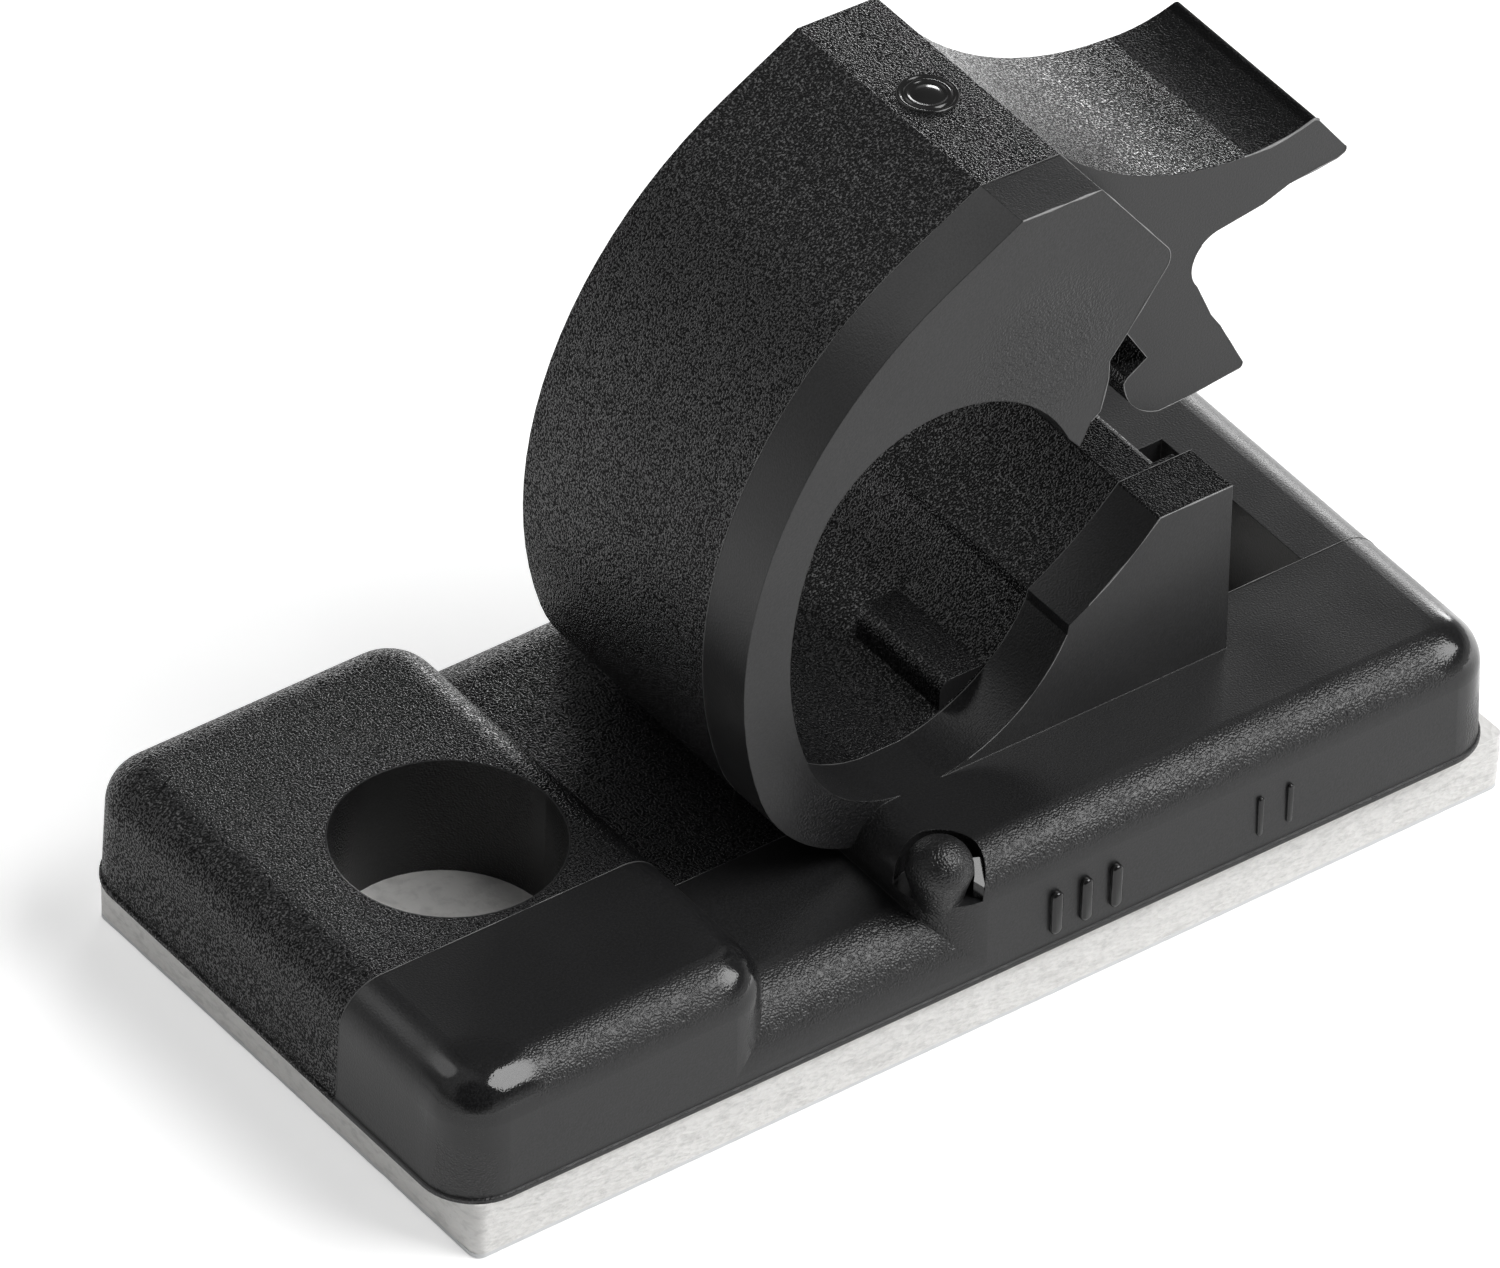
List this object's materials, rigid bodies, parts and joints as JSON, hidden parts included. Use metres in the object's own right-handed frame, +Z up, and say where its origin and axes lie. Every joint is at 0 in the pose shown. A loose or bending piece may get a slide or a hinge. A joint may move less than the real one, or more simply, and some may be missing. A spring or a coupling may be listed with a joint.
{
  "type": "adhesive cable clip",
  "caption": "Black moulded cable clip with a snap-over ring, thumb tab and screw hole on a white adhesive foam pad.",
  "frame": {"origin": "centre of the base outline on the face that sticks to the wall or desk", "axes": "+X along the base from the screw hole towards the latch, +Y across the base away from the pin corner, +Z up out of the mounting face"},
  "size_m": [0.028, 0.0142, 0.019],
  "materials": {
    "black_nylon": "moulded nylon, fine leathery texture with smoother front faces",
    "white_foam": "closed-cell foam tape, matt and slightly porous",
    "liner_paper": "thin coated release paper"
  },
  "bodies": {
    "root": {"clip_body": "black_nylon", "foam_pad": "white_foam", "release_liner": "liner_paper"}
  },
  "joints": []
}
